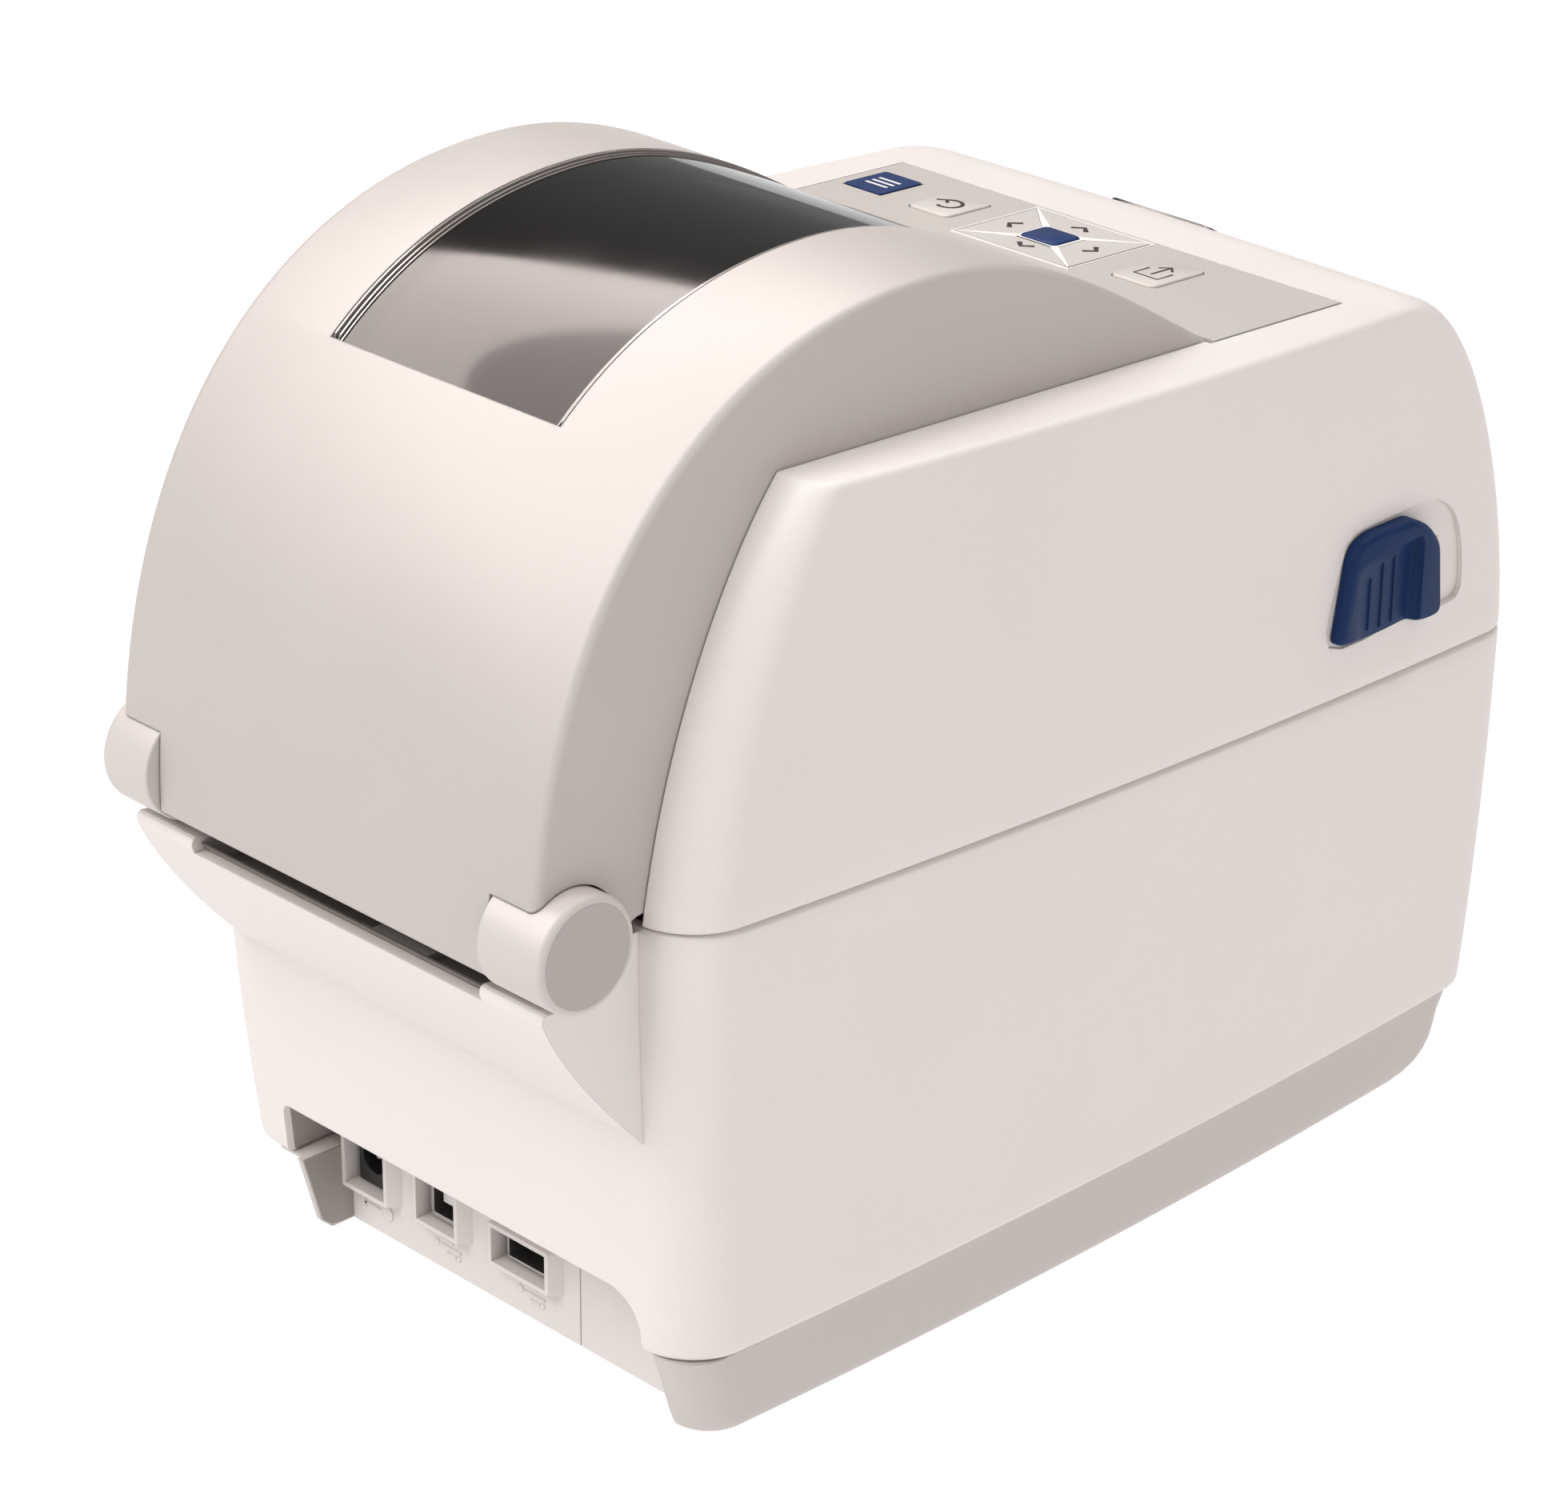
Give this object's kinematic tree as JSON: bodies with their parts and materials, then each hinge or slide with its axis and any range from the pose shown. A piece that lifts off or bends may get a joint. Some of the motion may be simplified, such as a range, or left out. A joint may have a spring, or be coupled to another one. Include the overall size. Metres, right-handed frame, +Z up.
{
  "type": "thermal label printer",
  "caption": "Desktop label printer with a hinged lid, curved rear cover with a smoked window, key panel, side release latches, media bay with roll guides, platen and print head.",
  "frame": {"origin": "on the table under the middle of the printer's bounding box, at the undersides of the rubber feet", "axes": "+Z up, +Y towards the hinge and the sockets at the rear, so the label exit faces -Y; +X is on the right of a user who stands at the label exit and faces the printer"},
  "size_m": [0.1668, 0.302, 0.2417],
  "materials": {
    "white": "fine-textured warm white",
    "light_grey": "satin light warm grey",
    "warm_grey": "satin warm grey",
    "blue": "satin dark blue",
    "smoke": "clear smoked",
    "black": "matte black",
    "rubber": "matte",
    "steel": "brushed",
    "board": "solder mask green",
    "nylon": "natural nylon"
  },
  "bodies": {
    "base": {"base_shell": "white", "bottom_pan": "light_grey", "foot_front_left": "rubber", "foot_front_right": "rubber", "foot_rear_left": "rubber", "foot_rear_right": "rubber", "port_panel": "light_grey", "dc_jack": "black", "usb_b_port": "steel", "usb_a_port": "steel", "main_board": "board", "hinge_barrel_left": "light_grey", "hinge_barrel_right": "light_grey", "hinge_pin_left": "steel", "hinge_pin_right": "steel", "media_frame": "black", "media_sensor": "black", "tear_bar": "steel", "slot_clip": "warm_grey", "stepper_motor": "black", "pan_screw_front_left": "steel", "pan_screw_front_right": "steel", "pan_screw_rear_left": "steel", "pan_screw_rear_right": "steel"},
    "lid": {"lid_shell": "white", "arch_cover": "light_grey", "window": "smoke", "control_panel": "warm_grey", "badge": "blue", "lcd_window": "black", "panel_board": "board", "ribbon_frame": "black", "printhead": "steel"},
    "platen": {"platen_roller": "rubber", "platen_gear": "nylon"},
    "latch_left": {"latch_left": "blue"},
    "latch_right": {"latch_right": "blue"},
    "button_feed": {"button_feed": "warm_grey"},
    "button_reset": {"button_reset": "warm_grey"},
    "button_select": {"button_select": "blue"},
    "nav_up": {"nav_up": "warm_grey"},
    "nav_down": {"nav_down": "warm_grey"},
    "nav_left": {"nav_left": "warm_grey"},
    "nav_right": {"nav_right": "warm_grey"},
    "idler_gear_front": {"idler_gear_front": "nylon"},
    "idler_gear_rear": {"idler_gear_rear": "nylon"},
    "motor_pinion": {"motor_pinion": "steel"},
    "roll_guide_left": {"roll_guide_left": "nylon"},
    "roll_guide_right": {"roll_guide_right": "nylon"},
    "guide_pinion": {"guide_pinion": "nylon"},
    "ribbon_supply_spindle": {"ribbon_supply_spindle": "nylon"},
    "ribbon_take_up_spindle": {"ribbon_take_up_spindle": "nylon"}
  },
  "joints": [
    {"name": "lid_hinge", "type": "hinge", "parent": "base", "child": "lid", "pos_m": [0, 0.138, 0.1274], "axis": [-1, 0, 0], "range_deg": [0, 90]},
    {"name": "latch_left_slide", "type": "slide", "parent": "lid", "child": "latch_left", "axis": [0, -1, 0], "range_m": [0, 0.007], "stiffness_N_per_m": 250, "springref_m": -0.002},
    {"name": "latch_right_slide", "type": "slide", "parent": "lid", "child": "latch_right", "axis": [0, -1, 0], "range_m": [0, 0.007], "stiffness_N_per_m": 250, "springref_m": -0.002},
    {"name": "button_feed_press", "type": "slide", "parent": "lid", "child": "button_feed", "axis": [0, 0.0407, -0.9992], "range_m": [0, 0.0006], "stiffness_N_per_m": 1200, "springref_m": -0.0003},
    {"name": "button_reset_press", "type": "slide", "parent": "lid", "child": "button_reset", "axis": [0, 0.0407, -0.9992], "range_m": [0, 0.0006], "stiffness_N_per_m": 1200, "springref_m": -0.0003},
    {"name": "button_select_press", "type": "slide", "parent": "lid", "child": "button_select", "axis": [0, 0.0407, -0.9992], "range_m": [0, 0.0006], "stiffness_N_per_m": 1200, "springref_m": -0.0003},
    {"name": "nav_up_press", "type": "slide", "parent": "lid", "child": "nav_up", "axis": [0, 0.0407, -0.9992], "range_m": [0, 0.0006], "stiffness_N_per_m": 1200, "springref_m": -0.0003},
    {"name": "nav_down_press", "type": "slide", "parent": "lid", "child": "nav_down", "axis": [0, 0.0407, -0.9992], "range_m": [0, 0.0006], "stiffness_N_per_m": 1200, "springref_m": -0.0003},
    {"name": "nav_left_press", "type": "slide", "parent": "lid", "child": "nav_left", "axis": [0, 0.0407, -0.9992], "range_m": [0, 0.0006], "stiffness_N_per_m": 1200, "springref_m": -0.0003},
    {"name": "nav_right_press", "type": "slide", "parent": "lid", "child": "nav_right", "axis": [0, 0.0407, -0.9992], "range_m": [0, 0.0006], "stiffness_N_per_m": 1200, "springref_m": -0.0003},
    {"name": "platen_spin", "type": "hinge", "parent": "base", "child": "platen", "pos_m": [0, -0.13, 0.109], "axis": [1, 0, 0], "continuous": true},
    {"name": "idler_gear_front_spin", "type": "hinge", "parent": "base", "child": "idler_gear_front", "pos_m": [-0.0687, -0.11259, 0.09277], "axis": [1, 0, 0], "continuous": true},
    {"name": "idler_gear_rear_spin", "type": "hinge", "parent": "base", "child": "idler_gear_rear", "pos_m": [-0.0687, -0.0908, 0.07244], "axis": [1, 0, 0], "continuous": true},
    {"name": "motor_pinion_spin", "type": "hinge", "parent": "base", "child": "motor_pinion", "pos_m": [-0.0687, -0.07573, 0.0584], "axis": [1, 0, 0], "continuous": true},
    {"name": "roll_guide_left_slide", "type": "slide", "parent": "base", "child": "roll_guide_left", "axis": [-1, 0, 0], "range_m": [-0.025, 0.0115]},
    {"name": "roll_guide_right_slide", "type": "slide", "parent": "base", "child": "roll_guide_right", "axis": [1, 0, 0], "range_m": [-0.0255, 0.012]},
    {"name": "guide_pinion_spin", "type": "hinge", "parent": "base", "child": "guide_pinion", "pos_m": [0.003, 0.022, 0.0345], "axis": [0, 0, 1], "range_deg": [-368, 170]},
    {"name": "ribbon_supply_spin", "type": "hinge", "parent": "lid", "child": "ribbon_supply_spindle", "pos_m": [0.003, -0.008, 0.176], "axis": [1, 0, 0], "continuous": true},
    {"name": "ribbon_take_up_spin", "type": "hinge", "parent": "lid", "child": "ribbon_take_up_spindle", "pos_m": [0.003, -0.07, 0.16], "axis": [1, 0, 0], "continuous": true}
  ],
  "couplings": [
    {"joint": "idler_gear_front_spin", "follows": "platen_spin", "ratio": -0.59459},
    {"joint": "idler_gear_rear_spin", "follows": "platen_spin", "ratio": 0.59459},
    {"joint": "motor_pinion_spin", "follows": "platen_spin", "ratio": -1.5714},
    {"joint": "roll_guide_right_slide", "follows": "roll_guide_left_slide", "ratio": 1},
    {"joint": "guide_pinion_spin", "follows": "roll_guide_left_slide", "rad_per_m": 255.1}
  ]
}
